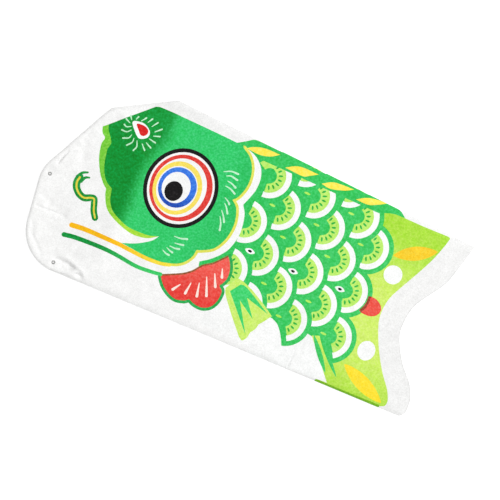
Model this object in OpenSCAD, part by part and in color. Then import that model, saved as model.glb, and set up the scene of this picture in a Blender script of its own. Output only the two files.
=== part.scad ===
// Carp streamer laid flat: a printed fabric tube, mouth to -X and tail to +X,
// with a wire hoop sewn into its mouth hem. The underside rests on Z = 0.
// The tube is cut at three lines across its width, where it folds in the wind.

/* [Fabric tube] */
// Overall length from the mouth edge to the tail tips, mm
overall_l = 400; // [390:1:410]
// Flat width at the widest place, behind the mouth, mm
flat_w = 193; // [190:1:198]
// How far the top edge drops from the head to the tail, mm
top_taper = 10; // [4:0.5:14]
// How far the bottom edge rises from the head to the tail, mm
bottom_taper = 11; // [6:0.5:16]
// Height of the flattened tube, outside to outside, mm
flat_h = 6; // [5.6:0.1:7]
// Thickness given to one layer of fabric, mm
fabric_t = 0.8; // [0.5:0.1:1]

/* [Mouth] */
// Diameter of the hoop's wire, mm
wire_d = 1.6; // [1.2:0.1:2]
// Length of the crimped sleeve that joins the wire's two ends, mm
joiner_l = 12; // [8:1:20]
// Bore of a bridle string's eyelet, mm
eyelet_bore_d = 1.6; // [1.4:0.1:2]
// Outside diameter of an eyelet's thread binding, mm
eyelet_d = 3.6; // [3.4:0.1:4.4]
// Distance of an eyelet's centre from the wire, mm
eyelet_inset = 5.5; // [5.3:0.1:7]

/* [Seams] */
// Width of the turned-in seam allowance, mm
seam_w = 5; // [3:0.5:7]
// Diameter of the sewing thread, mm
thread_d = 0.5; // [0.3:0.1:0.7]
// Distance of the hem's stitch line from the wire, mm
hem_stitch_inset = 3.2; // [3:0.1:4]

/* [Folds] */
// Fold line behind the head, mm
head_fold_x = -10; // [-14:1:-6]
// Fold line at the middle of the body, mm
body_fold_x = 55; // [50:1:60]
// Fold line at the root of the tail, mm
tail_fold_x = 120; // [116:1:124]
// Clear gap at each fold, mm
fold_gap = 3; // [2.8:0.1:4]

/* [Hidden] */
$fn = 48;
HEAD = 0;
FORE_BODY = 1;
REAR_BODY = 2;
TAIL = 3;

// Heights of the fabric layers
front_z = flat_h - fabric_t;
hem_r = front_z / 2;
sleeve_r = wire_d / 2 + 0.5;
hem_bore_r = sleeve_r + 0.1;

half_l = overall_l / 2;
half_w = flat_w / 2;

// The hoop lies bent out of round: four bends, each [centre, radius at the wire], with
// straight runs between them. In order round the hoop: under the crown, at the mouth
// end, at the belly and on the near side.
bends = [
    [[-157, 55], 9],
    [[-half_l + hem_r + 30, -18], 30],
    [[-153.5, -half_w + hem_r + 38], 38],
    [[-140, 22], 22]
];
MOUTH_END = 1;
BELLY = 2;
NEAR_SIDE = 3;
// A bead this much wider than the bar closes each joint between a bend and a run
bead = 0.08;
// Clearances of the fabric round the hem and round an eyelet
hem_gap = 0.3;
eyelet_gap = 0.1;
// An eyelet's height, and how far it reaches down below the front panel
eyelet_h = fabric_t + 1;
eyelet_drop = 0.6;

// The tube's two long edges, from the head's corners to the tail's tips
dorsal_head = [-half_l + 88, half_w];
dorsal_tail = [half_l - 5, half_w - top_taper];
belly_head = [bends[BELLY][0][0], -half_w];
belly_tail = [half_l - 4, -half_w + bottom_taper];
// Where the fabric folds over the hoop's upper end
crown = [-half_l + 35, 65];
// The notched tail edge, from the bottom tip up to the top one
tail_edge = [[half_l, -80], [half_l - 1, -67], [178, -40], [166, -20], [164, -6], [168, 15], [185, 44]];

// The four lengths of tube between the folds
fold_x = [head_fold_x, body_fold_x, tail_fold_x];
section_start = [-half_l - 1, for (x = fold_x) x + fold_gap / 2];
section_end = [for (x = fold_x) x - fold_gap / 2, half_l + 1];

// The direction, seen from the bends' centres, in which the run after bend i touches
// both of its bends
function bend(i) = bends[(i + len(bends)) % len(bends)];
function run_angle(i) =
    let (a = bend(i), b = bend(i + 1), run = b[0] - a[0])
        atan2(run[1], run[0]) - acos((a[1] - b[1]) / norm(run));
function turned(angle, before) = angle < before ? turned(angle + 360, before) : angle;
// A point on bend i, offset by out from the wire
function on_bend(i, angle, out) = bend(i)[0] + (bend(i)[1] + out) * [cos(angle), sin(angle)];
// The line round bend i, offset by out from the wire
function bend_line(i, out, steps = 8) =
    let (from = run_angle(i - 1), to = turned(run_angle(i), from))
        [for (k = [0:steps]) on_bend(i, from + (to - from) * k / steps, out)];

mouth_eyelet_at = on_bend(MOUTH_END, 173, -eyelet_inset);
side_eyelet_at = on_bend(BELLY, 267.5, -eyelet_inset);

// Height of the line from a to b at x
function edge_y(a, b, x) = a[1] + (b[1] - a[1]) * (x - a[0]) / (b[0] - a[0]);

// The belly seam starts where the hem has left the edge
belly_seam_x = belly_head[0] + 24;
belly_seam_head = [belly_seam_x, edge_y(belly_head, belly_tail, belly_seam_x)];
// Round the mouth end the cloth follows the outside of the hem down to the belly
belly_rim = [for (k = [0:8]) on_bend(BELLY, 189 + 9.5 * k, hem_r)];
outline = concat(
    [dorsal_tail, dorsal_head, crown, on_bend(0, run_angle(0), hem_r)],
    bend_line(MOUTH_END, hem_r, 4), belly_rim, [belly_head, belly_tail], tail_edge
);

module section_slab(section) {
    translate([section_start[section], -flat_w, -1])
        cube([section_end[section] - section_start[section], 2 * flat_w, flat_h + 2]);
}

module panel(section, z) {
    intersection() {
        translate([0, 0, z])
            linear_extrude(fabric_t)
                polygon(outline);
        section_slab(section);
    }
}

module front_panel(section) {
    color("mediumseagreen")
        difference() {
            panel(section, front_z);
            if (section == HEAD)
                for (at = [mouth_eyelet_at, side_eyelet_at])
                    translate([at[0], at[1], front_z - 1])
                        cylinder(h = fabric_t + 2, d = eyelet_d + 2 * eyelet_gap);
        }
}

// Under the head the fabric ends at the hem, so the mouth is open below
module back_panel(section) {
    color("seagreen")
        difference() {
            panel(section, 0);
            if (section == HEAD)
                translate([0, 0, -1])
                    linear_extrude(fabric_t + 2)
                        polygon([for (i = [0:len(bends) - 1]) each bend_line(i, hem_r + hem_gap, 16)]);
        }
}

// Both panels' edges, turned in and sewn together along the tube
module seam(a, b, inward, section) {
    color("whitesmoke")
        intersection() {
            translate([0, 0, fabric_t])
                linear_extrude(front_z - fabric_t)
                    polygon([a, b, b + [0, inward * seam_w], a + [0, inward * seam_w]]);
            section_slab(section);
        }
}

// The line of thread along a seam, on the inner edge of its allowance
module stitching(a, b, inward, section) {
    from_x = max(a[0], section_start[section]);
    to_x = min(b[0], section_end[section]) - seam_w * (section == TAIL ? 1 : 0);
    from = [from_x, edge_y(a, b, from_x) + inward * (seam_w + thread_d)];
    to = [to_x, edge_y(a, b, to_x) + inward * (seam_w + thread_d)];
    run = to - from;
    color("white")
        translate([from[0], from[1], flat_h / 2])
            rotate([0, 90, atan2(run[1], run[0])])
                cylinder(h = norm(run), d = thread_d);
}

// A round bar of diameter d that follows the hoop, offset inwards by inset
module round_hoop(d, inset = 0) {
    translate([0, 0, hem_r])
        for (i = [0:len(bends) - 1]) {
            from = run_angle(i - 1);
            to = turned(run_angle(i), from);
            translate(bend(i)[0])
                rotate(from)
                    rotate_extrude(angle = to - from, $fn = 64)
                        translate([bend(i)[1] - inset, 0])
                            circle(d = d, $fn = 24);
            straight(on_bend(i, to, -inset), on_bend(i + 1, to, -inset), d);
        }
}

// A straight run, with a slight bead where it meets each bend
module straight(a, b, d) {
    run = b - a;
    translate(a)
        rotate([0, 90, atan2(run[1], run[0])]) {
            cylinder(h = norm(run), d = d, $fn = 24);
            for (end = [0, norm(run)])
                translate([0, 0, end])
                    sphere(d = d + bead, $fn = 24);
        }
}

module mouth_hoop() {
    color("silver")
        round_hoop(wire_d);
}

// The crimped sleeve grips both ends of the wire, on the straight run of the near side
module hoop_joiner() {
    angle = run_angle(BELLY);
    middle = (on_bend(BELLY, angle, 0) + on_bend(NEAR_SIDE, angle, 0)) / 2;
    color("gainsboro")
        translate([middle[0], middle[1], hem_r])
            rotate([0, 90, angle + 90])
                difference() {
                    cylinder(h = joiner_l, r = sleeve_r, center = true);
                    cylinder(h = joiner_l + 2, d = wire_d, center = true);
                }
}

// The mouth's edge, rolled round the hoop
module mouth_hem() {
    color("whitesmoke")
        difference() {
            round_hoop(2 * hem_r);
            round_hoop(2 * hem_bore_r);
        }
}

module hem_stitching() {
    color("white")
        round_hoop(thread_d, hem_stitch_inset);
}

module eyelet(at) {
    color("gray")
        translate([at[0], at[1], front_z - eyelet_drop])
            difference() {
                cylinder(h = eyelet_h, d = eyelet_d);
                translate([0, 0, -1])
                    cylinder(h = eyelet_h + 2, d = eyelet_bore_d);
            }
}

module dorsal_seam(section) seam(dorsal_head, dorsal_tail, -1, section);
module belly_seam(section) seam(belly_seam_head, belly_tail, 1, section);
module dorsal_stitching(section) stitching(dorsal_head, dorsal_tail, -1, section);
module belly_stitching(section) stitching(belly_seam_head, belly_tail, 1, section);

front_panel(HEAD);  // front_panel_head
front_panel(FORE_BODY);  // front_panel_fore_body
front_panel(REAR_BODY);  // front_panel_rear_body
front_panel(TAIL);  // front_panel_tail
back_panel(HEAD);  // back_panel_head
back_panel(FORE_BODY);  // back_panel_fore_body
back_panel(REAR_BODY);  // back_panel_rear_body
back_panel(TAIL);  // back_panel_tail
dorsal_seam(HEAD);  // dorsal_seam_head
dorsal_seam(FORE_BODY);  // dorsal_seam_fore_body
dorsal_seam(REAR_BODY);  // dorsal_seam_rear_body
dorsal_seam(TAIL);  // dorsal_seam_tail
belly_seam(HEAD);  // belly_seam_head
belly_seam(FORE_BODY);  // belly_seam_fore_body
belly_seam(REAR_BODY);  // belly_seam_rear_body
belly_seam(TAIL);  // belly_seam_tail
dorsal_stitching(HEAD);  // dorsal_stitching_head
dorsal_stitching(FORE_BODY);  // dorsal_stitching_fore_body
dorsal_stitching(REAR_BODY);  // dorsal_stitching_rear_body
dorsal_stitching(TAIL);  // dorsal_stitching_tail
belly_stitching(HEAD);  // belly_stitching_head
belly_stitching(FORE_BODY);  // belly_stitching_fore_body
belly_stitching(REAR_BODY);  // belly_stitching_rear_body
belly_stitching(TAIL);  // belly_stitching_tail
mouth_hoop();
hoop_joiner();
mouth_hem();
hem_stitching();
eyelet(mouth_eyelet_at);  // mouth_eyelet
eyelet(side_eyelet_at);  // side_eyelet
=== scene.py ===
"""A carp streamer lying flat, seen from straight above its front print.

The print and the outlines are drawn in millimetres in the frame's own X and Y: X runs from
the mouth towards the tail and Y towards the fish's back. The two panels share one drawing,
cut into triangles along every printed edge, and are then given their heights.
"""
import math
import random

import bpy
import numpy as np
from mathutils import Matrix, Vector
from mathutils.geometry import delaunay_2d_cdt


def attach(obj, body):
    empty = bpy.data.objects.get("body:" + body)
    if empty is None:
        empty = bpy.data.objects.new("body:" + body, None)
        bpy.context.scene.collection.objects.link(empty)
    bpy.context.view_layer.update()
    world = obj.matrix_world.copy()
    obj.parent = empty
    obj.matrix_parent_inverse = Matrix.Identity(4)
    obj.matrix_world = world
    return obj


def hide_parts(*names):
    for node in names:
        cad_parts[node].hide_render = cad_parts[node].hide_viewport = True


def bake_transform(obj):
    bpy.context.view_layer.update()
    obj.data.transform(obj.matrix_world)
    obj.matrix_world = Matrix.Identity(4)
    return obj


MM = 0.001
SEED = 20

# The cloth
CLOTH_X = (-201, 201)
CLOTH_Y = (-98, 98)
CLOTH_T = 0.2
EDGE_STEP = 2.0
# How far apart the points of the cloth lie, up to each X
GRID = ((-172, 0.8), (-112, 1.2), (CLOTH_X[1], 2.0))

# The lengths that the cloth is cut into, and the folds between the bodies
PANEL_CUTS = (22.5, 87.5)

# The hoop: four bends, [centre, radius at the wire], joined by straight runs
BENDS = (((-157, 55), 9), ((-167.4, -18), 30), ((-153.5, -55.9), 38), ((-140, 22), 22))
WIRE_Z = 2.6
HEM_R = 2.6
EYELETS = {"mouth_eyelet": (-191.717, -15.014), "side_eyelet": (-154.918, -88.369)}
BORE_R = 0.8

# The tube's edges
CROWN = (-165, 65)
DORSAL = [CROWN, (-112, 96.5), (195, 86.5)]
BELLY = [(-153.5, -96.5), (196, -85.5)]
TAIL_EDGE = [(196, -85.5), (200, -80), (199, -67), (192, -54), (178, -39), (167, -21), (164, -8),
             (167, 14), (184, 43), (190, 64), (195, 86.5)]

# Heights of the front panel: at its seamed edges and over the wire
EDGE_Z = 1.0
RIM_TOP = 5.5
RIM_R = RIM_TOP - WIRE_Z
# The shares of the way round the hoop between which the cloth ends at it
MOUTH_END_SHARE = (0.03, 0.535)

# Sewing: a stitch's length, gap and rise, and the radii of the threads
STITCH = 2.4
STITCH_GAP = 0.6
STITCH_LIFT = 0.12
THREAD_R = 0.13
BINDING_R = 0.16

# The seams: the lines they follow, where they end, and how they lie inside the edge
SEAMS = {"dorsal": ((-112, 96.5), (195, 86.5)), "belly": ((-129.5, -95.75), (196, -85.5))}
SEAM_END_X = {"dorsal": 189, "belly": 190}
ALLOWANCE_INSET = 0.9
ALLOWANCE_Z = 1.05
ALLOWANCE_SHAPE = ((5.1, 0.5), (3.0, 0.46), (1.2, 0.3), (0, 0), (1.2, -0.2), (3.0, -0.28),
                   (5.1, -0.3))
SEAM_STITCH_INSET = 4.6
SEAM_STITCH_Z = 1.6

# The camera, the lights (each one's location, size and watts) and the floor
CAMERA_LENS = 100
CAMERA_SENSOR = 36
CAMERA_ROLL = 24.5
CAMERA_AT = (0.0061, -0.00255, 1.291)
WORLD_STRENGTH = 0.54
LIGHTS = {"key_softbox": ((1.7, 1.15, 2.0), 1.2, 53), "fill_softbox": ((-0.9, -0.6, 1.6), 1.4, 4)}
FLOOR_HALF = 3
FLOOR_GREY = 0.70
FLOOR_GLOW = 0.52


# ---------------- curves

PER_SPAN = 7


def spline(points):
    """Points along a Catmull-Rom curve from the first point to the last."""
    p = np.array(points, float)
    if len(p) == 2:
        return p
    p = np.vstack([2 * p[0] - p[1], p, 2 * p[-1] - p[-2]])
    t = (np.arange(PER_SPAN) / PER_SPAN)[:, None]
    spans = []
    for a, b, c, d in zip(p, p[1:], p[2:], p[3:]):
        spans.append((2 * b + (c - a) * t + (2 * a - 5 * b + 4 * c - d) * t ** 2
                      + (3 * b - a - 3 * c + d) * t ** 3) / 2)
    return np.vstack(spans + [p[-2:-1]])


def divided(points, step=EDGE_STEP):
    """The same line with no stretch longer than step."""
    out = []
    for a, b in zip(points, points[1:]):
        n = max(1, math.ceil(np.linalg.norm(b - a) / step))
        out.extend(a + (b - a) * k / n for k in range(n))
    return np.array(out + [points[-1]])


def outline(*stretches):
    """A closed outline of curved stretches, each from the corner where the last one ends."""
    corners = [stretch[-1] for stretch in stretches]
    starts = corners[-1:] + corners[:-1]
    return np.vstack([divided(spline([start, *stretch]))[:-1]
                      for start, stretch in zip(starts, stretches)])


def loop(*points):
    """A closed smooth outline through the points."""
    p = list(points)
    line = spline([p[-1]] + p + p[:2])
    return divided(line[PER_SPAN:-PER_SPAN])[:-1]


def ellipse(x, y, rx, ry, turn=0, n=None):
    """An ellipse about (x, y), turned by an angle in degrees, as n points."""
    n = n or max(10, int(2.6 * (rx + ry)))
    a = np.arange(n) * math.tau / n
    c, s = math.cos(math.radians(turn)), math.sin(math.radians(turn))
    u, v = rx * np.cos(a), ry * np.sin(a)
    return np.stack([x + u * c - v * s, y + u * s + v * c], 1)


def sector(x, y, r_in, r_out, start, end):
    """Part of a ring between two angles in degrees."""
    n = max(6, int(r_out * math.radians(end - start) / 1.3))
    a = np.radians(np.linspace(start, end, n + 1))
    ring = np.stack([np.cos(a), np.sin(a)], 1)
    return np.array([x, y]) + np.vstack([r_out * ring, r_in * ring[::-1]])


def counterclockwise(shape):
    x, y = shape.T
    area = (x * np.roll(y, -1) - y * np.roll(x, -1)).sum()
    return shape if area > 0 else shape[::-1]


def sideways(line):
    """Unit normals along a line, to its left."""
    run = np.gradient(line, axis=0)
    run /= np.linalg.norm(run, axis=1)[:, None]
    return np.stack([-run[:, 1], run[:, 0]], 1)


def stroke(points, start_w, end_w=None):
    """A brush stroke along a curve, from one width to another, with round ends."""
    line = divided(spline(points), 1.6)
    end_w = start_w if end_w is None else end_w
    share = np.linspace(0, 1, len(line))
    half = (start_w + (end_w - start_w) * share)[:, None] / 2
    side = sideways(line)
    a = np.radians(np.linspace(60, -60, 4))[:, None]
    ends = []
    for i, out in ((-1, 1), (0, -1)):
        along = out * np.array([side[i][1], -side[i][0]])
        ends.append(line[i] + half[i] * (np.cos(a) * along + out * np.sin(a) * side[i]))
    return np.vstack([line + half * side, ends[0], (line - half * side)[::-1], ends[1]])


def leaf(a, b, width):
    """A pointed oval from a to b."""
    a, b = np.array(a, float), np.array(b, float)
    n = max(8, int(np.linalg.norm(b - a) / 2))
    t = np.linspace(0, 1, n + 1)[:, None]
    run = (b - a) / np.linalg.norm(b - a)
    out = np.array([-run[1], run[0]]) * width / 2 * np.sin(math.pi * t) ** 0.75
    line = a + (b - a) * t
    return np.vstack([line + out, (line - out)[-2:0:-1]])


def hoop_bend(i, out=0.0, step=1.0):
    """Points along the bend i of the hoop, offset outwards from the wire."""
    def run_angle(k):
        (c, r), (d, s) = BENDS[k % 4], BENDS[(k + 1) % 4]
        run = np.subtract(d, c)
        return math.atan2(run[1], run[0]) - math.acos((r - s) / np.linalg.norm(run))
    start, end = run_angle(i - 1), run_angle(i)
    while end < start:
        end += math.tau
    (c, r) = BENDS[i % 4]
    n = max(3, int((end - start) * (r + out) / step))
    a = np.linspace(start, end, n + 1)
    return np.array(c) + (r + out) * np.stack([np.cos(a), np.sin(a)], 1)


def hoop_line(out=0.0, step=1.0):
    """The whole hoop as a closed line, from the crown by the mouth end and the belly."""
    bends = [hoop_bend(i, out, step) for i in range(4)]
    line = np.vstack(bends + [bends[0][:1]])
    return divided(line, step)[:-1]


# ---------------- inks

def srgb(r, g, b):
    """The linear colour of a display colour from 0 to 255."""
    c = np.array([r, g, b]) / 255
    return np.where(c < 0.04045, c / 12.92, ((c + 0.055) / 1.055) ** 2.4)


def ease(a, b, x):
    """0 before a and 1 beyond b, with a smooth step between them."""
    t = np.clip((x - a) / (b - a), 0, 1)
    return t * t * (3 - 2 * t)


def even(*rgb):
    """An ink of one colour."""
    colour = srgb(*rgb)
    return lambda x, y: np.broadcast_to(colour, (len(x), 3))


def fading(a, b, share):
    """An ink that goes from colour a to colour b as share(x, y) goes from 0 to 1."""
    low, high = srgb(*a), srgb(*b)

    def ink(x, y):
        t = np.clip(share(x, y), 0, 1)[:, None]
        return low + (high - low) * t
    return ink


def head_light(x, y):
    """The satin over the hoop is turned away from the light, so its green is deeper."""
    behind_hoop = ease(-122, -104, x - 0.06 * y + 2.5 * np.sin(y / 13))
    crown = 0.1 * ease(30, 80, y)
    gill = 0.17 * ease(-52, -28, x)
    return np.maximum(behind_hoop, crown) - gill


def bare_cloth_painted_shade(x, y):
    """Painted shade: the bare cloth is painted a little greyer along the dorsal seam and towards
    the tail, to damp the key light that falls strongest there.
    """
    return 1 - np.maximum(ease(60, 170, x), ease(74, 90, y))


def tail_light(x, y):
    """The tail's lime is palest across its middle."""
    return ease(-90, -20, -np.abs(y + 15))


INKS = {
    # painted shade: the bare cloth's ink is greyer along the dorsal seam and towards the tail
    "cloth": fading((239, 239, 238), (247, 247, 246), bare_cloth_painted_shade),
    "edge": even(226, 227, 225),
    "head_green": fading((0, 146, 48), (50, 204, 108), head_light),
    # painted shade: the lime band is painted darker towards the mouth end, like the head's green
    # over the hoop
    "lime_band": fading((120, 205, 60), (172, 224, 60), lambda x, y: ease(-150, -100, x)),
    "gill_yellow": even(228, 228, 92),
    "print_white": even(247, 248, 247),
    "black": even(17, 15, 16),
    "red_ring": even(224, 62, 54),
    "yellow_ring": even(249, 226, 98),
    # painted shade: the blue ring is painted darker on its lower side
    "blue_ring": fading((24, 68, 172), (58, 122, 228), lambda x, y: ease(0, 26, y)),
    # painted shade: the mouth's orange and green are painted darker towards the mouth end, like
    # the head's green over the hoop
    "mouth_orange": fading((250, 188, 12), (250, 226, 66), lambda x, y: ease(-120, -55, x)),
    "mouth_green": fading((6, 146, 58), (60, 204, 104), lambda x, y: ease(-130, -70, x)),
    "squiggle_green": fading((28, 150, 62), (10, 140, 50), lambda x, y: ease(-5, -35, y)),
    "squiggle_yellow": even(226, 214, 70),
    "pale_stroke": even(196, 242, 206),
    "spot_red": even(214, 30, 28),
    "fin_red": fading((232, 66, 58), (243, 99, 88), lambda x, y: ease(-70, -20, y)),
    "fin_outline": even(44, 172, 84),
    "fin_brown": even(150, 92, 52),
    "fin_stroke": even(254, 232, 220),
    "pectoral_lime": even(204, 238, 110),
    "pectoral_green": even(64, 212, 112),
    "scale_green": fading((50, 197, 94), (62, 201, 99), lambda x, y: ease(0, 110, x)),
    "scale_lime": even(188, 236, 108),
    "scale_dash": even(46, 178, 70),
    "seed_lime": even(178, 236, 96),
    "dorsal_green": even(52, 196, 92),
    "petal_yellow": even(252, 234, 88),
    "tail_lime": fading((170, 222, 62), (208, 238, 108), tail_light),
    "tail_olive": even(122, 182, 34),
    "tail_orange": even(244, 204, 42),
    "tail_yellow": even(250, 223, 50),
    "tail_red": even(236, 86, 74),
    "tail_dark": even(154, 70, 48),
}


# ---------------- the print

class Drawing:
    """Printed shapes in painter's order: each one covers those before it."""

    def __init__(self):
        self.shapes = []

    def paint(self, ink, *outlines):
        for shape in outlines:
            self.shapes.append((ink, counterclockwise(shape)))


def draw_cloth(d):
    mouth_end = np.vstack([hoop_bend(0, HEM_R)[-1:], hoop_bend(1, HEM_R), hoop_bend(2, HEM_R)])
    mouth_end = mouth_end[mouth_end[:, 0] < BELLY[0][0]]
    d.paint("cloth", np.vstack([
        divided(np.array(DORSAL[::-1], float))[:-1],
        divided(np.vstack([CROWN, mouth_end, BELLY[0]]))[:-1],
        divided(np.array(BELLY, float))[:-1],
        divided(spline(TAIL_EDGE))[:-1]]))
    d.paint("edge", stroke([(x - 0.6, y) for x, y in TAIL_EDGE[1:-1]], 0.7))


def draw_tail(d):
    d.paint("tail_lime", outline(
        [(140, 84), (169, 85)],
        [(170.5, 82), (165, 62), (158, 45), (150, 28), (143, 12), (141, 0), (142, -12),
         (147, -25), (155, -40), (165, -55), (175, -67), (180, -76), (180, -82), (176, -84.5)],
        [(150, -86), (110, -86)], [(90, -20)], [(100, 84)]))
    d.paint("tail_olive", stroke([(112, -87.4), (145, -86.4), (174, -85)], 2.8))
    d.paint("print_white", ellipse(136.3, 31.5, 8.7, 8.8), ellipse(143, -42.8, 8.2, 9.3))
    d.paint("tail_orange", leaf((129, 48), (165.5, 68), 13))
    d.paint("tail_yellow", leaf((129.5, -62.5), (175.5, -81.3), 13.5))


def draw_anal_fin(d):
    d.paint("tail_lime", outline(
        [(104, -65), (121, -84)], [(124, -86), (128, -84)],
        [(114, -64), (98, -48)], [(91, -51)]))
    d.paint("scale_green", leaf((92, -49), (117, -77.5), 4.8), leaf((97, -47), (128, -77), 3.9))


def draw_dorsal_strip(d):
    d.paint("dorsal_green", outline(
        [(-40, 87), (-33, 92), (-28, 93)], [(0, 92.3), (60, 90.3), (114, 89.6)],
        [(119, 88), (125, 84)], [(113, 83), (100, 78)], [(-35, 78)], [(-46, 83)]))


def draw_petals(d):
    """Petals along the back: an upper edge from root to tip, and a lower edge back to the root."""
    petals = (([(-36, 82), (-30, 86), (-20, 89), (-5, 89.5)], [(-12, 84.5), (-22, 81.5)]),
              ([(4, 80.5), (12, 85.5), (20, 87.5), (35, 87.5)], [(28, 83), (22, 80)]),
              ([(41, 81), (50, 86.5), (60, 88), (71, 88.5)], [(62, 83.5), (50, 80)]),
              ([(76, 81), (85, 86.5), (95, 89), (104, 89.5)], [(97, 85), (88, 81)]))
    for upper, lower in petals:
        d.paint("petal_yellow", outline(upper[1:], [*lower, upper[0]]))


# Each scale's crescent turns from low to SCALE_TURN degrees; two are cut short by the anal fin
SCALE_TURN = 88
SCALE_COLUMNS = 6
SHORT_SCALES = {(3, -3): -62, (5, -3): -57}
SCALES_WITH_SEEDS = ((1, 1), (2, 2), (2, 0), (2, -2), (3, 1), (3, -3), (4, 2), (4, 0), (4, -2),
                     (5, 1), (5, -3))
DOTTED_EYES = ((6.5, -3.5), (50.5, -4), (97, -1))


def scale_centre(i, j):
    """The middle of the scale in column i from the gill and half-row j up from the side line."""
    y = (20 + 0.448 * i) + 23.7 * j * (1 - 0.0112 * i)
    x = -9.5 + 22.4 * i + 0.00128 * (y - 12) ** 2
    return x, y


def draw_scale(d, x, y, low):
    """A scale: a white crescent, a lime one inside it, and a short fan of dashes."""
    d.paint("scale_green", ellipse(x, y, 25, 25))
    d.paint("print_white", sector(x, y, 15.2, 20.5, low, SCALE_TURN))
    d.paint("scale_lime", sector(x - 0.4, y, 7, 15.6, low + 4, SCALE_TURN - 4))
    d.paint("scale_green", ellipse(x - 2.6, y, 7.9, 8.3))
    for turn in range(-66, 67, 22):
        if turn > low + 16:
            a = math.radians(turn)
            middle = (x - 1 + 11.2 * math.cos(a), y + 11.2 * math.sin(a))
            d.paint("scale_dash", ellipse(*middle, 2.2, 0.95, turn, 9))


def draw_scales(d):
    """Columns of scales, the tail's first, so that each lies over the next one behind it."""
    for i in range(SCALE_COLUMNS - 1, -1, -1):
        if i == 3:
            # bare cloth round the root of the anal fin
            d.paint("print_white", outline([(93, -52)], [(122, -85)], [(40, -92)], [(70, -48)]))
        for j in ((3, 1, -1, -3) if i % 2 else (2, 0, -2)):
            if (i, j) != (5, 3):
                draw_scale(d, *scale_centre(i, j), SHORT_SCALES.get((i, j), -SCALE_TURN))
    # bare cloth under the pectoral fin
    d.paint("print_white", outline(
        [(20, -46), (52, -52)], [(58, -55), (64, -62), (71, -74)],
        [(66, -84), (-8, -84)], [(-8, -46)]))
    x, y = scale_centre(0, 2)
    d.paint("scale_lime", sector(x, y, 7.5, 15.4, 80, 150))
    for i, j in SCALES_WITH_SEEDS:
        x, y = scale_centre(i, j)
        d.paint("seed_lime", ellipse(x - 6.5, y, 3, 1.1))
    for x, y in DOTTED_EYES:
        d.paint("print_white", leaf((x - 5, y), (x + 5, y), 5))
        d.paint("black", ellipse(x, y, 2.0, 1.2))


def draw_tail_dome(d):
    """The red dome at the tail, darker where it is printed over a scale's green rim."""
    x, y = scale_centre(5, -1)
    d.paint("tail_dark", sector(x, y, 21.6, 24.5, -31, 11.5))
    d.paint("tail_red", outline(
        [(132, 4.3), (137.5, 1), (140, -4), (137.8, -9.3), (132, -12.6), (123.5, -12.8)],
        [(126, -7), (126.8, -1), (126.2, 4.6)]))


def draw_pectoral_fin(d):
    d.paint("pectoral_lime", outline(
        [(9, -31), (22, -35), (38, -43), (50, -50)], [(45, -58), (42, -62)],
        [(41, -67), (38, -72)], [(37, -78), (34, -82), (30, -80)],
        [(15, -64), (3, -50), (0, -44)], [(2, -40), (5, -33)]))
    d.paint("pectoral_green", outline(
        [(11.7, -35)], [(19, -36), (46, -50)], [(22, -44)], [(35, -60)], [(17, -49)],
        [(35, -76)], [(5, -45)]))


def draw_red_fin(d):
    """A fin of three lobes, with a darker edge along the gill."""
    edge = [
        [(-9, -15), (-5, -20), (-1.5, -28), (-1, -36), (-3, -42), (-4.5, -44)],
        [(-4.5, -44), (-1, -47), (0, -52), (-1, -60), (-5, -67), (-12, -71), (-20, -71),
         (-26, -69)],
        [(-26, -69), (-30, -72), (-38, -74), (-46, -72), (-54, -67), (-60, -60), (-60, -58)],
        [(-60, -58), (-50, -53), (-41, -48), (-34, -42), (-28, -34), (-20, -28), (-13, -20),
         (-9, -15)]]
    d.paint("fin_red", outline(*(stretch[1:] for stretch in edge)))
    d.paint("fin_brown", stroke(edge[3], 1.6))
    for lobe in edge[:3]:
        d.paint("fin_outline", stroke(lobe, 2.8))
    for a, b in (((-10, -29), (-7, -36.5)), ((-14.5, -36), (-9, -47)),
                 ((-20, -42), (-13, -58)), ((-24, -50), (-21, -62)),
                 ((-31, -53), (-32, -64)), ((-39.5, -58.5), (-44, -65.5))):
        d.paint("fin_stroke", stroke([a, b], 0.9, 2.6))


GILL = [
    [(-38, 81), (-30, 76), (-24, 68), (-21, 58), (-21, 48), (-24, 38), (-28, 33)],
    [(-28, 33), (-22, 28), (-18, 18), (-17, 8), (-19, -4), (-25, -15), (-34, -21), (-39, -23)],
    [(-39, -23), (-40, -30), (-44, -37), (-50, -42), (-58, -45), (-70, -48), (-85, -47.5),
     (-105, -46)]]


def draw_gill(d):
    d.paint("print_white", outline(
        [(-28, 80), (-21, 76), (-15, 69), (-12, 60), (-12, 50), (-14, 42), (-17, 33)],
        [(-12, 25), (-9, 12), (-9, 2), (-12, -10), (-17, -18), (-24, -25.5), (-30, -30)],
        [(-36, -35), (-43, -43), (-50, -50), (-60, -54), (-75, -56)],
        [(-75, -40)], [(-50, 60)], [(-36, 82)]))
    for stretch in (GILL[0], GILL[1], GILL[2][:-1]):
        d.paint("gill_yellow", stroke(stretch, 4.9))


def draw_head(d):
    d.paint("lime_band", outline(
        [(-163.4, 40), (-159.2, 36), (-160, 30), (-157, 18), (-150, 5), (-143, -3),
         (-139, -6)],
        [(-137, -12), (-131, -22), (-122, -28), (-108, -33), (-97, -34.5), (-85, -32),
         (-76, -26)],
        [(-110, 0)], [(-150, 50)], [(-161.3, 49)],
        [(-165.4, 45)]))
    d.paint("head_green", outline(
        [(-128.5, 82.2)],
        [(-124, 83.6), (-112, 84)],
        [(-46, 83), (-38, 81)],
        *(stretch[1:] for stretch in GILL),
        [(-95, -42), (-88, -38), (-80, -32), (-76, -26)],
        [(-84, -29), (-93, -30), (-105, -30), (-115, -27), (-125, -22), (-131, -14),
         (-134, -4)],
        [(-141, 0), (-146, 6), (-150, 15), (-153, 28)],
        [(-152, 34), (-154.5, 38.5), (-159, 44), (-161.3, 49)]))


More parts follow.
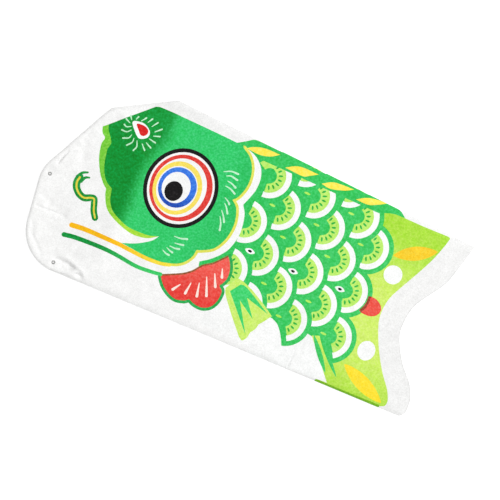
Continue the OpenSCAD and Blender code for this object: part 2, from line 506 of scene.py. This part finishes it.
def draw_cheek(d):
    strokes = (((-46, 53.5), (-40, 56.5), (-33, 57)), ((-42, 51), (-38, 52.5), (-31.5, 51.5)),
               ((-39, 47), (-35, 46.5), (-30, 44.5)), ((-39, 42), (-34, 41.5), (-28.5, 39)),
               ((-35, 32), (-31, 30), (-29, 28)), ((-33, 27), (-30, 24), (-27, 19.5)),
               ((-33, 20), (-29.5, 16), (-26.5, 11)), ((-32, 14), (-29, 9), (-27, 2.5)),
               ((-63, -20), (-57, -19.5), (-51, -17.5)), ((-60, -25.5), (-56, -25), (-52, -24)),
               ((-63, -30), (-58, -30), (-54, -29)), ((-65, -32.5), (-61, -34), (-58.5, -34.5)),
               ((-67.5, -36), (-64, -37.6), (-60.5, -38)))
    for points in strokes:
        d.paint("pale_stroke", stroke(points, 0.8, 1.9))


def draw_forehead_spot(d):
    d.paint("print_white", loop((-142, 60.5), (-132, 63.5), (-124, 59), (-123.5, 53), (-129, 49),
                                (-134, 51)))
    d.paint("spot_red", loop((-137.6, 60.3), (-131, 61.6), (-126, 59.5), (-125, 56),
                             (-127, 52.9), (-130.2, 52.3), (-133, 54.8)))
    rays = (((-143.5, 61.8), (-146, 65)), ((-144, 58.5), (-148.5, 60.5)),
            ((-141.5, 56), (-145, 54), (-148, 55)), ((-140, 53), (-143, 49.8), (-148, 49.5)),
            ((-137.8, 49), (-139, 45.5), (-144, 43)), ((-134.5, 47), (-134.5, 43), (-138, 38.5)),
            ((-131, 46), (-129, 41), (-130.5, 36.5)), ((-125.5, 45.5), (-121, 41)),
            ((-122.5, 48), (-117, 45.5)), ((-121.5, 52.5), (-115, 51.5)),
            ((-119, 56.5), (-113.5, 58.5)), ((-119.5, 60.5), (-117.5, 62.5), (-114.5, 65.5)),
            ((-124, 64), (-120.5, 69.5)), ((-129, 66), (-126.5, 70.5)), ((-135, 64.5), (-132, 69)),
            ((-140, 64), (-139, 67)))
    for points in rays:
        d.paint("pale_stroke", stroke(points, 0.8, 1.5))


def draw_eye(d):
    """Rings from the outside in: ink, middle and radii along X and Y."""
    rings = (("black", -76, 23, 34.5, 37.5), ("print_white", -76, 23, 30.9, 33.9),
             ("red_ring", -76, 23.2, 29, 31.3), ("print_white", -77.1, 22.9, 24.6, 27.8),
             ("yellow_ring", -79, 21.8, 22.6, 25.2), ("print_white", -79.3, 21.4, 18.9, 21),
             ("blue_ring", -79.2, 22.3, 17.8, 19), ("print_white", -80.2, 21.8, 13.2, 14.7),
             ("black", -81, 17.8, 8.4, 9.4))
    for ink, *ring in rings:
        d.paint(ink, ellipse(*ring))


def draw_mouth(d):
    d.paint("mouth_green", stroke(
        [(-157, -61), (-145, -59), (-120, -57.5), (-105, -58), (-85, -60), (-70, -59),
         (-60, -57.5)], 4.4, 3.4))
    d.paint("mouth_orange", stroke(
        [(-154, -50), (-140, -48.5), (-110, -48), (-100, -48.5), (-80, -49.5), (-65, -48.5),
         (-56, -46.2)], 4.8, 3.2))


def draw_squiggle(d):
    middle = [(-165.4, -6.5), (-166, -11.5), (-164.2, -16.5), (-159.5, -20.8), (-154, -22.2),
              (-148.5, -19.8), (-145.2, -19.4), (-143.2, -23.5), (-140.8, -29.5), (-137, -35)]
    d.paint("squiggle_green", stroke(middle, 7.2, 6.0),
            stroke([(-160.5, 0.6), (-165, -2), (-167.6, -7)], 1.8, 3.4),
            stroke([(-157, -3.2), (-160.6, -4.8), (-163, -9.5)], 1.6, 3.4))
    d.paint("squiggle_yellow", stroke(middle, 1.9, 1.6))


def draw_print():
    """The whole print, from the bare cloth up."""
    d = Drawing()
    for draw in (draw_cloth, draw_tail, draw_scales, draw_tail_dome, draw_anal_fin,
                 draw_dorsal_strip, draw_petals, draw_pectoral_fin, draw_gill, draw_red_fin,
                 draw_head, draw_cheek, draw_forehead_spot, draw_eye, draw_mouth, draw_squiggle):
        draw(d)
    return d


# ---------------- cutting the cloth into triangles

CDT_FACES = 1
CDT_EPSILON = 1e-4


def scattered(x0, x1, step, rng):
    """Grid points over a stretch of the cloth, each moved a little so no row lines up."""
    xs, ys = np.meshgrid(np.arange(x0, x1, step), np.arange(*CLOTH_Y, step))
    points = np.stack([xs.ravel(), ys.ravel()], 1)
    return points + rng.uniform(-0.25 * step, 0.25 * step, points.shape)


def strip_behind(x, reach=60, half_width=100):
    """An outline whose front edge cuts the cloth's triangles along a straight line at X."""
    y = np.arange(-half_width, half_width + 0.1, EDGE_STEP)
    front = np.column_stack([np.full(len(y), x), y])
    return np.vstack([front, [(x + reach, half_width), (x + reach, -half_width)]])


class Cloth:
    """The flat cloth: its points and triangles, each triangle's ink, and the cuts it lies in."""

    def __init__(self, drawing, cuts):
        rng = np.random.default_rng(SEED)
        shapes = [s for _, s in drawing.shapes] + [counterclockwise(s) for s in cuts.values()]
        points, faces = [], []
        for shape in shapes:
            faces.append(list(range(len(points), len(points) + len(shape))))
            points.extend(shape)
        start = CLOTH_X[0]
        for end, step in GRID:
            points.extend(scattered(start, end, step, rng))
            start = end
        found = delaunay_2d_cdt([Vector(p) for p in points], [], faces, CDT_FACES, CDT_EPSILON)
        self.flat = np.array([tuple(p) for p in found[0]])
        n_inks = len(drawing.shapes)
        tris, inks, inside = [], [], {name: [] for name in cuts}
        # a triangle has the ink of the last shape over it; the first shape is the cloth itself
        for tri, sources in zip(found[2], found[5]):
            over = [s for s in sources if s < n_inks]
            if 0 not in over:
                continue
            tris.append(list(tri))
            inks.append(max(over))
            for k, name in enumerate(cuts):
                inside[name].append(n_inks + k in sources)
        self.tris = np.array(tris)
        names = [ink for ink, _ in drawing.shapes]
        self.ink = np.array([names[k] for k in inks])
        self.inside = {name: np.array(flags) for name, flags in inside.items()}
        a, b, c = (self.flat[self.tris[:, k]] for k in range(3))
        turn = np.cross(b - a, c - a)
        self.tris[turn < 0] = self.tris[turn < 0][:, ::-1]

    def colours(self):
        """A colour for each corner of each triangle."""
        out = np.empty((len(self.tris), 3, 3))
        corners = self.flat[self.tris]
        for name in set(self.ink):
            mine = self.ink == name
            x, y = corners[mine].reshape(-1, 2).T
            out[mine] = INKS[name](x, y).reshape(-1, 3, 3)
        return out


# ---------------- how the cloth lies

def distance(x, y, line, closed=False):
    """Distance from each point to a line, and the share of the line passed at its foot."""
    p = np.stack([x, y], 1)
    line = np.asarray(line, float)
    if closed:
        line = np.vstack([line, line[:1]])
    best = np.full(len(p), 1e9)
    foot = np.zeros(len(p))
    passed = 0.0
    for a, b in zip(line, line[1:]):
        run = b - a
        length = np.linalg.norm(run)
        t = np.clip((p - a) @ run / length ** 2, 0, 1)
        d = np.linalg.norm(p - a - t[:, None] * run, axis=1)
        nearer = d < best
        best[nearer] = d[nearer]
        foot[nearer] = passed + t[nearer] * length
        passed += length
    return best, foot / passed


def in_hoop(x, y):
    """Which points lie inside the wire, whose line is convex."""
    line = hoop_line(0, 2.0)
    nxt = np.roll(line, -1, axis=0)
    inside = np.ones(len(x), bool)
    for a, b in zip(line, nxt):
        inside &= (b[0] - a[0]) * (y - a[1]) - (b[1] - a[1]) * (x - a[0]) >= 0
    return inside


def from_wire(x, y):
    """Distance from the wire, negative inside the hoop, and the share of the way round."""
    d, foot = distance(x, y, hoop_line(0, 2.5), closed=True)
    return np.where(in_hoop(x, y), -d, d), foot


def ripples(x, y, wavelength, seed):
    """A smooth uneven surface of height about 1."""
    rng = random.Random(seed)
    total = np.zeros_like(x)
    for _ in range(9):
        a = rng.uniform(0, math.tau)
        k = math.tau / (wavelength * rng.uniform(0.7, 1.5))
        total += np.sin(k * (x * math.cos(a) + y * math.sin(a)) + rng.uniform(0, math.tau))
    return total / 4.5


def groove(x, y, line, width, depth):
    """A crease along a line that fades out at both of its ends."""
    d, foot = distance(x, y, divided(spline(line), 2.0))
    fade = np.clip(np.minimum(foot, 1 - foot) * 5, 0, 1)
    return -depth * ease(0, 1, fade) * np.exp(-(d / width) ** 2)


def rounded(d, radius):
    """0 at the edge, rising as a quarter circle to 1 at the radius."""
    t = np.clip(d / radius, 0, 1)
    return np.sqrt(1 - (1 - t) ** 2)


# Folds that the mouth hem pulls into the cloth: a line, its width and its depth
FOLDS_AT_MOUTH = (
    ([(-187.0, 17), (-190, 9), (-193.2, -2)], 0.9, 2.4),
    ([(-184.6, 14), (-187.2, 5), (-189.6, -5)], 0.9, 2.1),
    ([(-196, -47.3), (-185, -47), (-175, -46.2), (-158, -45.5)], 1.4, 1.4),
    ([(-186, -43.5), (-176, -42.5), (-160, -41)], 4.0, 0.8),
    ([(-194, -34), (-186, -37), (-177, -38)], 3.0, 0.7),
    ([(-192, -60), (-186, -66), (-183, -77)], 2.2, 0.6),
    ([(-186, -71), (-176, -80), (-167, -88)], 2.0, 0.8),
    ([(-178, 44), (-176, 30), (-170, 12), (-172, 2)], 4.0, 0.7),
    ([(-170, 58), (-158, 66), (-140, 76)], 3.0, 0.4),
    # the pocket by the belly, and its upper lip, which stands up
    ([(-158, -86.5), (-148, -85), (-137, -86.5), (-122, -92)], 2.6, 2.8),
    ([(-158, -90.8), (-148, -89.3), (-136, -90.5)], 1.0, 1.2),
    ([(-152, -84), (-144, -83.2), (-134, -86)], 0.8, 1.0),
    ([(-150, -88.2), (-142, -87.4), (-132, -90)], 0.7, 0.9),
    ([(-160, -82.5), (-147, -79.5), (-134, -83), (-119, -90)], 2.2, -0.9))
PLEATS = 44
# Where the casing's pressed edges end inside the wire, and how far the cloth clears them
HEM_EDGE = 4.4
HEM_CLEARANCE = 0.6
# How far from the wire the cloth hugs the casing
HUG = 2.4
FRONT_ROUNDING = 7
BACK_ROUNDING = 6
BACK_Z = 0.12


def pleats(out, share):
    """The height of small gathers that run in from the mouth hem and fade out."""
    waves = np.cos(share * math.tau * PLEATS + 2.2 * np.sin(share * 40))
    uneven = 0.6 + 0.4 * np.sin(share * 61)
    near_hem = np.exp(-(np.maximum(-out, 0) / 7) ** 1.5) * (out < 0) * ease(0, 2.5, -out)
    return 0.3 * waves * uneven * near_hem * ease(0.0, 0.05, share) * ease(0.60, 0.52, share)


def front_height(x, y):
    """Height of the front panel's outer face at rest."""
    out, share = from_wire(x, y)
    body = 2.8 + 0.9 * np.exp(-((x + 40) / 90) ** 2 - (y / 60) ** 2)
    body = body + 0.42 * ripples(x, y, 60, 3) + 0.1 * ripples(x, y * 1.6, 24, 5)
    body = body + (1.9 + 0.3 * ripples(x, y, 30, 8) - body) * ease(135, 200, x)
    inner = 3.5 + 0.25 * ripples(x, y, 24, 6)

    # over the hoop: level at the wire, then falling off on both sides
    slack = body + (RIM_TOP - body) * np.exp(-(np.maximum(out, 0) / 11) ** 1.6)
    mouth = inner + (RIM_TOP - inner) * np.exp(-(np.maximum(-out, 0) / 13) ** 1.8)
    wrap = WIRE_Z + np.sqrt(np.maximum(RIM_R ** 2 - out ** 2, 0))
    at_end = ease(MOUTH_END_SHARE[0] - 0.02, MOUTH_END_SHARE[0], share) \
        * ease(MOUTH_END_SHARE[1] + 0.02, MOUTH_END_SHARE[1], share)
    z = np.where(out > 0, slack + (wrap - slack) * at_end, mouth)

    z += pleats(out, share)
    z += sum(groove(x, y, *fold) for fold in FOLDS_AT_MOUTH)

    # the seams round the cloth down to the edges
    for edge in (DORSAL, BELLY):
        d, _ = distance(x, y, edge)
        z = EDGE_Z + (z - EDGE_Z) * rounded(d + 0.05, FRONT_ROUNDING)
    z = np.where((out > -HEM_EDGE) & (out < 0), np.maximum(z, WIRE_Z + HEM_CLEARANCE), z)
    return np.where(np.abs(out) < HUG, np.maximum(z, wrap), z)


def back_height(x, y):
    """Height of the back panel's outer face, which lies on the floor."""
    dorsal, _ = distance(x, y, DORSAL)
    belly, _ = distance(x, y, BELLY)
    lift = 1 - rounded(np.minimum(dorsal, belly) + 0.05, BACK_ROUNDING)
    flutter = 0.5 + 0.5 * ripples(x, y, 28, 12)
    return BACK_Z + 0.4 * lift + 0.15 * np.clip(flutter, 0, 1) * ease(120, 200, x)


# ---------------- meshes

def mesh_object(name, points, faces, material, smooth=True):
    mesh = bpy.data.meshes.new(name)
    mesh.from_pydata([tuple(p) for p in points], [], [tuple(int(i) for i in f) for f in faces])
    mesh.polygons.foreach_set("use_smooth", [smooth] * len(mesh.polygons))
    mesh.materials.append(material)
    obj = bpy.data.objects.new(name, mesh)
    bpy.context.scene.collection.objects.link(obj)
    return obj


def point_normals(points, tris):
    """A unit normal for each point, the mean of the triangles round it by area."""
    a, b, c = (points[tris[:, k]] for k in range(3))
    face = np.cross(b - a, c - a)
    normals = np.zeros_like(points)
    for k in range(3):
        np.add.at(normals, tris[:, k], face)
    return normals / np.maximum(np.linalg.norm(normals, axis=1), 1e-12)[:, None]


def border_edges(tris):
    """Directed edges of the triangles that no other triangle shares."""
    edges = np.vstack([tris[:, [0, 1]], tris[:, [1, 2]], tris[:, [2, 0]]])
    key = {(a, b) for a, b in edges}
    return np.array([(a, b) for a, b in edges if (b, a) not in key])


# How much paler than the print the reverse of the cloth is
REVERSE_PALENESS = 0.62


def paint_corners(mesh, printed, n_rims):
    """Stores an ink for each corner: the printed face's, the reverse's and the cut edge's."""
    origin = np.zeros(1)
    white = INKS["cloth"](origin, origin)[0]
    reverse = printed[:, ::-1] + (white - printed[:, ::-1]) * REVERSE_PALENESS
    edge = np.tile(INKS["edge"](origin, origin), (4 * n_rims, 1))
    colours = np.vstack([printed.reshape(-1, 3), reverse.reshape(-1, 3), edge])
    rgba = np.column_stack([colours, np.ones(len(colours))]).astype(np.float32)
    ink = mesh.color_attributes.new("ink", "FLOAT_COLOR", "CORNER")
    ink.data.foreach_set("color", rgba.ravel())


def panel(name, cloth, keep, height, up, material):
    """One length of a panel: its printed face, its paler reverse and the cut edge between them."""
    z = height(*cloth.flat.T)
    outer = np.column_stack([cloth.flat, z]) * MM
    all_tris = cloth.tris if up else cloth.tris[:, ::-1]
    normals = point_normals(outer, all_tris)
    inner = outer - normals * CLOTH_T * MM

    tris = all_tris[keep]
    colours = cloth.colours()[keep]
    used = np.unique(tris)
    renumber = np.full(len(outer), -1)
    renumber[used] = np.arange(len(used))
    tris = renumber[tris]
    outer, inner, normals = outer[used], inner[used], normals[used]
    n = len(used)
    rims = np.array([(a, a + n, b + n, b) for a, b in border_edges(tris)])
    faces = [*tris, *(tris[:, ::-1] + n), *rims]
    obj = mesh_object(name, np.vstack([outer, inner]), faces, material)
    paint_corners(obj.data, colours if up else colours[:, ::-1], len(rims))

    # the cut edge has its own normals, so the two faces stay smooth up to it
    start, end = outer[rims[:, 0]], outer[rims[:, 3]]
    sideways_out = np.cross(inner[rims[:, 0]] - start, end - start)
    sideways_out /= np.linalg.norm(sideways_out, axis=1, keepdims=True)
    printed_side, reverse_side = normals[tris], -normals[tris[:, ::-1]]
    corner_normals = np.vstack([printed_side.reshape(-1, 3), reverse_side.reshape(-1, 3),
                                np.repeat(sideways_out, 4, axis=0)])
    obj.data.normals_split_custom_set([tuple(v) for v in corner_normals])
    return obj


def swept(name, line, profile, material, closed=True):
    """A profile carried along a level line of (x, y, z) points, in millimetres.

    profile(share) gives (sideways, up) points at a share of the way along.
    """
    line = np.asarray(line, float)
    flat = line[:, :2]
    run = np.roll(flat, -1, 0) - np.roll(flat, 1, 0) if closed else np.gradient(flat, axis=0)
    run /= np.linalg.norm(run, axis=1)[:, None]
    side = np.column_stack([run[:, 1], -run[:, 0], np.zeros(len(run))])
    n, m = len(line), len(profile(0))
    points = [p + side[i] * u + np.array([0, 0, v])
              for i, p in enumerate(line) for u, v in profile(i / n)]
    faces = [(i * m + j, i * m + j + 1, (i + 1) % n * m + j + 1, (i + 1) % n * m + j)
             for i in range(n if closed else n - 1) for j in range(m - 1)]
    return mesh_object(name, np.array(points) * MM, faces, material)


def hem_profile(share):
    """The casing round the wire, its two edges pressed together at the stitch line."""
    r = HEM_R + 0.05 * math.sin(share * 310)
    angles = np.radians(np.linspace(168, -168, 23))
    ring = [(r * math.cos(a), r * math.sin(a)) for a in angles]
    return [(-4.1, 0.22), (-3.3, 0.2)] + ring + [(-3.3, -0.2), (-4.1, -0.22)]


def mouth_hem(material):
    path = at_height(hoop_line(0, 0.9), WIRE_Z)
    return swept("mouth_hem_casing", path, hem_profile, material)


def thread(name, paths, radius, material, sides=6):
    """Lengths of thread, each a tube with closed ends round its own path in millimetres."""
    points, faces = [], []
    for path in paths:
        path = np.asarray(path, float)
        run = np.gradient(path, axis=0)
        run /= np.linalg.norm(run, axis=1)[:, None]
        side = np.cross(run, (0.13, 0.21, 0.97))
        side /= np.linalg.norm(side, axis=1)[:, None]
        up = np.cross(side, run)
        n, first = len(path), len(points)
        for i in range(n):
            r = radius * (0.45 if i in (0, n - 1) else 1)
            for k in range(sides):
                a = math.tau * k / sides
                points.append(path[i] + r * (math.cos(a) * side[i] + math.sin(a) * up[i]))
        for i in range(n - 1):
            for k in range(sides):
                a, b = first + i * sides + k, first + i * sides + (k + 1) % sides
                faces.append((a, b, b + sides, a + sides))
        faces.append(tuple(first + k for k in range(sides))[::-1])
        faces.append(tuple(first + (n - 1) * sides + k for k in range(sides)))
    return mesh_object(name, np.array(points) * MM, faces, material)


def stitches(line, lift=STITCH_LIFT):
    """Short arcs of thread along a line of (x, y, z) points, as a sewing machine leaves them."""
    line = np.asarray(line, float)
    steps = np.linalg.norm(np.diff(line, axis=0), axis=1)
    along = np.concatenate([[0], np.cumsum(steps)])
    share = np.linspace(0, 1, 5)
    out = []
    for start in np.arange(0, along[-1] - STITCH, STITCH + STITCH_GAP):
        at = start + STITCH * share
        path = np.stack([np.interp(at, along, line[:, k]) for k in range(3)], 1)
        path[:, 2] += lift * np.sin(math.pi * share)
        out.append(path)
    return out


def eyelet(name, at, material):
    """A ring of thread wound round and round the edge of the hole."""
    x, y = at
    z = float(front_height(np.array([x]), np.array([y]))[0])
    turns, ring_r, across, up, sunk = 30, 1.3, 0.42, 0.55, 0.1
    a = np.linspace(0, math.tau, turns * 10, endpoint=False)
    b = a * turns
    radius = ring_r + across * np.cos(b)
    path = np.stack([x + radius * np.cos(a), y + radius * np.sin(a), z - sunk + up * np.sin(b)], 1)
    path = np.vstack([path, path[:1]])
    return thread(name, [path], BINDING_R, material, sides=5)


def at_height(line, z):
    return np.column_stack([line, np.full(len(line), z)])


def seam_line(edge, inset, x0, x1, z):
    """Points at a distance inwards from the dorsal (+) or belly (-) edge, between x0 and x1."""
    (ax, ay), (bx, by) = edge
    inward = -math.copysign(inset, ay)
    x = np.arange(x0, x1 + 0.1, 1.5)
    return at_height(np.column_stack([x, ay + (by - ay) * (x - ax) / (bx - ax) + inward]), z)


def allowance(name, edge, x0, x1, material):
    """The turned-in edges of both panels, folded together along the seam."""
    line = seam_line(edge, ALLOWANCE_INSET, x0, x1, ALLOWANCE_Z)
    inward = -1 if edge[0][1] > 0 else 1

    def profile(share):
        wave = 0.06 * math.sin(share * 90)
        return [(-inward * u, v + wave * u / SEAM_STITCH_INSET) for u, v in ALLOWANCE_SHAPE]
    return swept(name, line, profile, material, closed=False)


# ---------------- materials

def new_material(name):
    mat = bpy.data.materials.new(name)
    mat.use_nodes = True
    nodes = mat.node_tree.nodes
    return mat, nodes, mat.node_tree.links, nodes["Principled BSDF"]


def set_inputs(node, **values):
    """Sets inputs of a node, each named with _ for the spaces in its name."""
    for key, value in values.items():
        node.inputs[key.replace("_", " ")].default_value = value


def add_node(nodes, kind, **inputs):
    node = nodes.new(kind)
    set_inputs(node, **inputs)
    return node


def noise_between(nodes, links, low, high, scale):
    """A noise spread between low and high; returns the output socket."""
    where = nodes.new("ShaderNodeTexCoord")
    noise = add_node(nodes, "ShaderNodeTexNoise", Scale=scale, Detail=3.0)
    links.new(where.outputs["Object"], noise.inputs["Vector"])
    span = add_node(nodes, "ShaderNodeMapRange", From_Min=0.3, From_Max=0.7,
                    To_Min=low, To_Max=high)
    links.new(noise.outputs["Fac"], span.inputs["Value"])
    return span.outputs["Result"]


def mottled(nodes, links, colour, low, high, scale):
    """The colour multiplied by a fine noise between low and high; returns the output socket."""
    scaled = nodes.new("ShaderNodeVectorMath")
    scaled.operation = "SCALE"
    if isinstance(colour, tuple):
        scaled.inputs[0].default_value = colour
    else:
        links.new(colour, scaled.inputs[0])
    links.new(noise_between(nodes, links, low, high, scale), scaled.inputs["Scale"])
    return scaled.outputs["Vector"]


# How far apart the threads of the cloth lie, and the height of the weave
WEAVE = 0.45
WEAVE_HEIGHT = 0.02
# A wave texture has one wave in this length at a scale of 1
WAVE_LENGTH = 0.314


def woven(nodes, links, bsdf):
    """A bump of crossing threads."""
    where = nodes.new("ShaderNodeTexCoord")
    waves = []
    for direction in ("X", "Y"):
        wave = add_node(nodes, "ShaderNodeTexWave", Scale=WAVE_LENGTH / (WEAVE * MM),
                        Distortion=0.6)
        wave.bands_direction = direction
        links.new(where.outputs["Object"], wave.inputs["Vector"])
        waves.append(wave.outputs["Fac"])
    crossed = nodes.new("ShaderNodeMath")
    crossed.operation = "MULTIPLY"
    links.new(waves[0], crossed.inputs[0])
    links.new(waves[1], crossed.inputs[1])
    bump = add_node(nodes, "ShaderNodeBump", Strength=0.5, Distance=WEAVE_HEIGHT * MM)
    links.new(crossed.outputs["Value"], bump.inputs["Height"])
    links.new(bump.outputs["Normal"], bsdf.inputs["Normal"])


def printed_satin():
    mat, nodes, links, bsdf = new_material("printed_satin")
    ink = nodes.new("ShaderNodeVertexColor")
    ink.layer_name = "ink"
    # painted sheen: a fine noise in the ink's gamma lifts some threads towards white and deepens
    # others, as glints of the satin's weave
    painted_glints = nodes.new("ShaderNodeGamma")
    links.new(ink.outputs["Color"], painted_glints.inputs["Color"])
    links.new(noise_between(nodes, links, low=0.78, high=1.22, scale=520), painted_glints.inputs["Gamma"])
    grain = mottled(nodes, links, painted_glints.outputs["Color"], low=0.91, high=1.06, scale=900)
    cloud = mottled(nodes, links, grain, low=0.96, high=1.03, scale=160)
    links.new(cloud, bsdf.inputs["Base Color"])
    set_inputs(bsdf, Roughness=0.5, Specular_IOR_Level=0.16, Sheen_Weight=0.015,
               Sheen_Roughness=0.4)
    woven(nodes, links, bsdf)
    return mat


def white_cloth():
    mat, nodes, links, bsdf = new_material("white_cloth")
    grain = mottled(nodes, links, tuple(srgb(246, 246, 245)), low=0.95, high=1.01, scale=900)
    links.new(grain, bsdf.inputs["Base Color"])
    set_inputs(bsdf, Roughness=0.6, Specular_IOR_Level=0.22, Sheen_Weight=0.08)
    woven(nodes, links, bsdf)
    return mat


def sewing_thread(name, colour):
    """Spun thread, with a fine noise that paints shade between its fibres."""
    mat, nodes, links, bsdf = new_material(name)
    fibres = mottled(nodes, links, colour, low=0.82, high=1.04, scale=2600)
    links.new(fibres, bsdf.inputs["Base Color"])
    set_inputs(bsdf, Roughness=0.75, Specular_IOR_Level=0.2)
    return mat


def metal(name, colour, roughness):
    """Drawn or pressed metal, a little uneven in colour."""
    mat, nodes, links, bsdf = new_material(name)
    links.new(mottled(nodes, links, colour, low=0.8, high=1.08, scale=700),
              bsdf.inputs["Base Color"])
    set_inputs(bsdf, Metallic=1.0, Roughness=roughness)
    return mat


# ---------------- stage

def build_stage():
    """A white sweep of floor that glows a little, as the lit paper under a product does."""
    mat, nodes, links, bsdf = new_material("studio_floor")
    paper = mottled(nodes, links, (FLOOR_GREY,) * 3, low=0.99, high=1.0, scale=3.0)
    links.new(paper, bsdf.inputs["Base Color"])
    set_inputs(bsdf, Roughness=0.9, Specular_IOR_Level=0.1, Emission_Color=(1, 1, 1, 1),
               Emission_Strength=FLOOR_GLOW)
    h = FLOOR_HALF
    corners = ((-h, -h, 0), (h, -h, 0), (h, h, 0), (-h, h, 0))
    mesh_object("floor", corners, [(0, 1, 2, 3)], mat, smooth=False)


def build_lights():
    world = bpy.data.worlds.new("studio")
    world.use_nodes = True
    set_inputs(world.node_tree.nodes["Background"], Color=(1, 1, 1, 1), Strength=WORLD_STRENGTH)
    scene = bpy.context.scene
    scene.world = world
    scene.view_settings.view_transform = "Standard"
    for name, (location, size, watts) in LIGHTS.items():
        light = bpy.data.lights.new(name, "AREA")
        light.size = size
        light.energy = watts
        obj = bpy.data.objects.new(name, light)
        obj.location = location
        obj.rotation_euler = (-Vector(location)).to_track_quat("-Z", "Y").to_euler()
        scene.collection.objects.link(obj)


def build_camera():
    """A camera that looks straight down, rolled so that the streamer lies aslant."""
    camera = bpy.data.cameras.new("camera")
    camera.lens = CAMERA_LENS
    camera.sensor_width = CAMERA_SENSOR
    obj = bpy.data.objects.new("camera", camera)
    obj.location = CAMERA_AT
    obj.rotation_euler = (0, 0, math.radians(CAMERA_ROLL))
    bpy.context.scene.collection.objects.link(obj)
    bpy.context.scene.camera = obj


# ---------------- the streamer

SPANS = ("head", "body", "tail")
REPLACED = {"head": ("head", "fore_body"), "body": ("rear_body",), "tail": ("tail",)}
SPAN_X = {"head": (CLOTH_X[0], PANEL_CUTS[0]), "body": PANEL_CUTS,
          "tail": (PANEL_CUTS[1], CLOTH_X[1])}


def bend_at_fold(obj):
    """Bakes a length of cloth's placement into its mesh."""
    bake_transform(obj)


def finish_piece(obj, span, kind):
    """Hides the nodes of a kind that a length stands for, and bakes its placement into its mesh.
    """
    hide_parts(*[f"{kind}_{part}" for part in REPLACED[span]])
    bend_at_fold(obj)


def build_panels(cloth, material):
    middle_x = cloth.flat[cloth.tris].mean(1)[:, 0]
    holes = cloth.inside["mouth_eyelet"] | cloth.inside["side_eyelet"]
    for side, height, up, cut in (("back", back_height, False, cloth.inside["mouth"]),
                                  ("front", front_height, True, holes)):
        for span in SPANS:
            low, high = SPAN_X[span]
            keep = (middle_x > low) & (middle_x < high) & ~cut
            obj = panel(f"{side}_cloth_{span}", cloth, keep, height, up, material)
            finish_piece(obj, span, f"{side}_panel")


# How far each of the casing's two edges is turned in
HEM_STITCH_INSET = 3.7
HEM_STITCH_UP = 0.26


def put_on_head(obj, node):
    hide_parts(node)
    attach(obj, "head")


def build_mouth(materials):
    hem = mouth_hem(materials["white_cloth"])
    put_on_head(hem, "mouth_hem")
    hoop = hoop_line()

    line = hoop_line(-HEM_STITCH_INSET, 0.9)
    over, under = at_height(line, WIRE_Z + HEM_STITCH_UP), at_height(line, WIRE_Z - HEM_STITCH_UP)
    hem_thread = thread("hem_stitches", stitches(over) + stitches(under, -STITCH_LIFT), THREAD_R,
                        materials["sewing_thread"])
    put_on_head(hem_thread, "hem_stitching")

    for name, at in EYELETS.items():
        ring = eyelet(f"{name}_binding", at, materials["eyelet_thread"])
        put_on_head(ring, name)


def build_seams(materials):
    for kind, edge in SEAMS.items():
        for span in SPANS:
            low, high = SPAN_X[span]
            x0, x1 = max(low, edge[0][0] + 1), min(high, SEAM_END_X[kind])
            strip = allowance(f"{kind}_allowance_{span}", edge, x0, x1, materials["white_cloth"])
            finish_piece(strip, span, f"{kind}_seam")
            line = seam_line(edge, SEAM_STITCH_INSET, x0, x1, SEAM_STITCH_Z)
            sewn = thread(f"{kind}_stitches_{span}", stitches(line), THREAD_R,
                          materials["sewing_thread"])
            finish_piece(sewn, span, f"{kind}_stitching")


# How far the back panel's mouth clears the casing, and the cloth the eyelets' bores
MOUTH_CLEARANCE = 0.3
BORE_CLEARANCE = 0.15
BORE_SIDES = 14


def build_streamer(frame):
    drawing = draw_print()
    cuts = {"mouth": hoop_line(HEM_R + MOUTH_CLEARANCE, 2.0)}
    bore = BORE_R + BORE_CLEARANCE
    for name, at in EYELETS.items():
        cuts[name] = ellipse(*at, bore, bore, n=BORE_SIDES)
    for k, x in enumerate(PANEL_CUTS):
        cuts[f"length_{k}"] = strip_behind(x)
    cloth = Cloth(drawing, cuts)
    materials = {
        "printed_satin": printed_satin(),
        "white_cloth": white_cloth(),
        "sewing_thread": sewing_thread("sewing_thread", (0.84, 0.84, 0.82)),
        # the eyelet thread is dark grey: a binding thread, darkened as painted shade of the holes
        # it rings
        "eyelet_thread": sewing_thread("eyelet_thread", (0.42, 0.42, 0.41)),
    }
    build_panels(cloth, materials["printed_satin"])
    build_mouth(materials)
    build_seams(materials)
    wire = metal("hoop_wire", (0.60, 0.60, 0.59), roughness=0.42)
    joiner = metal("joiner_metal", (0.75, 0.76, 0.77), roughness=0.35)
    for node, material in (("mouth_hoop", wire), ("hoop_joiner", joiner)):
        obj = frame["nodes"][node]
        obj.data.materials.clear()
        obj.data.materials.append(material)


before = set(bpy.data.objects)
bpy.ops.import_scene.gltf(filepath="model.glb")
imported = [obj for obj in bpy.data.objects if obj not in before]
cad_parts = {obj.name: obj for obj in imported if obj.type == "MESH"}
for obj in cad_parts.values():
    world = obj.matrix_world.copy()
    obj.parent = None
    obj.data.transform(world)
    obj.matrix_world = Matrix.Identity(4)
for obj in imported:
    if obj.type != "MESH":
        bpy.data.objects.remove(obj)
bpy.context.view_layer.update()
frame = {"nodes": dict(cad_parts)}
build_stage()
build_lights()
build_camera()
build_streamer(frame)
